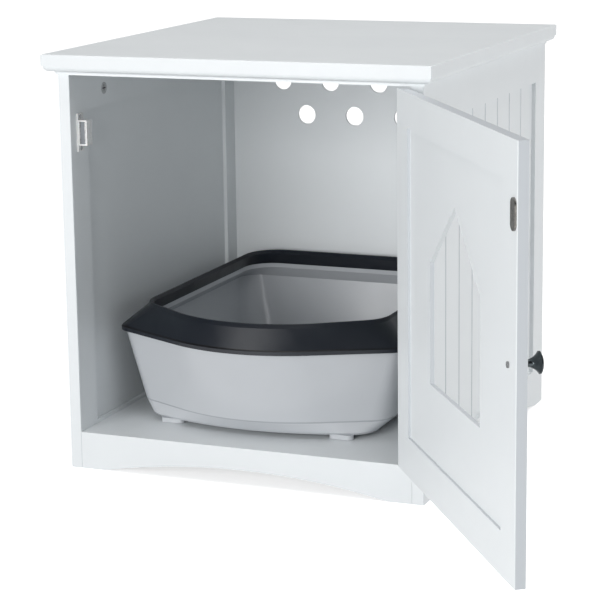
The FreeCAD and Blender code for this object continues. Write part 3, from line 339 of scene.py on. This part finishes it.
def paint_nodes():
    """Gives each node the finish of its material slot."""
    finish = {
        "white_paint": white_paint(),
        "pan_plastic": pan_plastic(),
        "rim_plastic": rim_plastic(),
        "catch_plastic": catch_plastic(),
        "magnet_ferrite": ferrite(),
        "zinc_steel": metal(
            "zinc_steel", (0.25, 0.25, 0.245), (0.40, 0.405, 0.41), 0.22, 0.36
        ),
        "dark_steel": metal(
            "dark_steel", (0.17, 0.165, 0.155), (0.27, 0.26, 0.245), 0.26, 0.40
        ),
        "gunmetal": metal(
            "gunmetal", (0.050, 0.060, 0.064), (0.085, 0.097, 0.102), 0.04, 0.08, grain=0.05
        ),
        "cam_zinc": cam_zinc(),
        "beech": beech(),
    }
    slot_of = {s["node"]: s["material_slot"] for s in frame["record"]["subparts"]}
    for name, node in frame["nodes"].items():
        node.data.materials.clear()
        node.data.materials.append(finish[slot_of[name]])


# ---------------------------------------------------------------- floor
FLOOR_CELLS = 8
FLOOR_HALF = 12.0
FLOOR_BOUNCE = (0.52, 0.53, 0.54)
FLOOR_SEEN = (0.96, 0.96, 0.96)
GLOW_REACH = (0.8, 3.0)  # how far out the floor's glow starts and ends its rise
GLOW_STRENGTH = (0.58, 0.95)  # the glow there: low enough near the object to keep its shadow


def floor_material():
    """White to the eye and in reflections, grey in the light that it gives back."""
    material = bpy.data.materials.new("floor")
    nodes = Nodes(material)
    output = nodes.add("ShaderNodeOutputMaterial")
    path = nodes.add("ShaderNodeLightPath").outputs
    direct = nodes.calculate("ADD", path["Is Camera Ray"], path["Is Glossy Ray"])
    seen = nodes.calculate("ADD", direct, path["Is Transmission Ray"], clamp=True)
    spot = nodes.add("ShaderNodeTexCoord").outputs["Object"]
    distance = nodes.add("ShaderNodeVectorMath", operation="LENGTH")
    nodes.link(spot, distance.inputs[0])
    fade = nodes.add("ShaderNodeMapRange")
    nodes.feed(fade.inputs["From Min"], GLOW_REACH[0])
    nodes.feed(fade.inputs["From Max"], GLOW_REACH[1])
    nodes.feed(fade.inputs["To Min"], GLOW_STRENGTH[0])
    nodes.feed(fade.inputs["To Max"], GLOW_STRENGTH[1])
    nodes.link(distance.outputs["Value"], fade.inputs["Value"])
    lit = nodes.add("ShaderNodeAddShader")
    nodes.link(nodes.shader("ShaderNodeBsdfDiffuse", FLOOR_SEEN), lit.inputs[0])
    nodes.link(nodes.shader("ShaderNodeEmission", WHITE, fade.outputs["Result"]), lit.inputs[1])
    plain = nodes.shader("ShaderNodeBsdfDiffuse", FLOOR_BOUNCE)
    nodes.link(nodes.mix_shaders(seen, plain, lit.outputs[0]), output.inputs["Surface"])
    return material


def make_floor():
    mesh = bmesh.new()
    bmesh.ops.create_grid(mesh, x_segments=FLOOR_CELLS, y_segments=FLOOR_CELLS, size=FLOOR_HALF)
    data = bpy.data.meshes.new("floor")
    mesh.to_mesh(data)
    mesh.free()
    floor = bpy.data.objects.new("floor", data)
    scene.collection.objects.link(floor)
    data.materials.append(floor_material())


# ---------------------------------------------------------------- light
ROOM_COLOUR = (0.97, 0.985, 1.0)
ROOM_STRENGTH = 0.18
BACKDROP_STRENGTH = 1.0

LAMP_TARGET = (0.0, -0.25, 0.25)
# name, place and size in metres, power in watts
LAMPS = (
    ("key", (-0.45, -3.7, 0.8), (2.4, 1.5), 80.0),
    ("fill", (3.1, 0.1, 1.1), (2.4, 1.8), 42.0),
    ("overhead", (0.0, -0.2, 2.9), (2.4, 2.4), 46.0),
)


def make_world():
    """A soft pale room for the object, and a white backdrop for the camera."""
    world = bpy.data.worlds.new("studio")
    scene.world = world
    nodes = Nodes(world)
    output = nodes.add("ShaderNodeOutputWorld")
    path = nodes.add("ShaderNodeLightPath").outputs
    room = nodes.shader("ShaderNodeBackground", ROOM_COLOUR, ROOM_STRENGTH)
    backdrop = nodes.shader("ShaderNodeBackground", WHITE, BACKDROP_STRENGTH)
    mixed = nodes.mix_shaders(path["Is Camera Ray"], room, backdrop)
    nodes.link(mixed, output.inputs["Surface"])


def make_lights():
    """Plain white area lamps, all aimed at the middle of the object."""
    for name, place, size, power in LAMPS:
        data = bpy.data.lights.new(name, "AREA")
        data.shape = "RECTANGLE"
        data.size, data.size_y = size
        data.energy = power
        light = bpy.data.objects.new(name, data)
        scene.collection.objects.link(light)
        light.location = place
        aim = Vector(LAMP_TARGET) - Vector(place)
        light.rotation_euler = aim.to_track_quat("-Z", "Y").to_euler()


make_camera()
paint_nodes()
make_floor()
make_world()
make_lights()
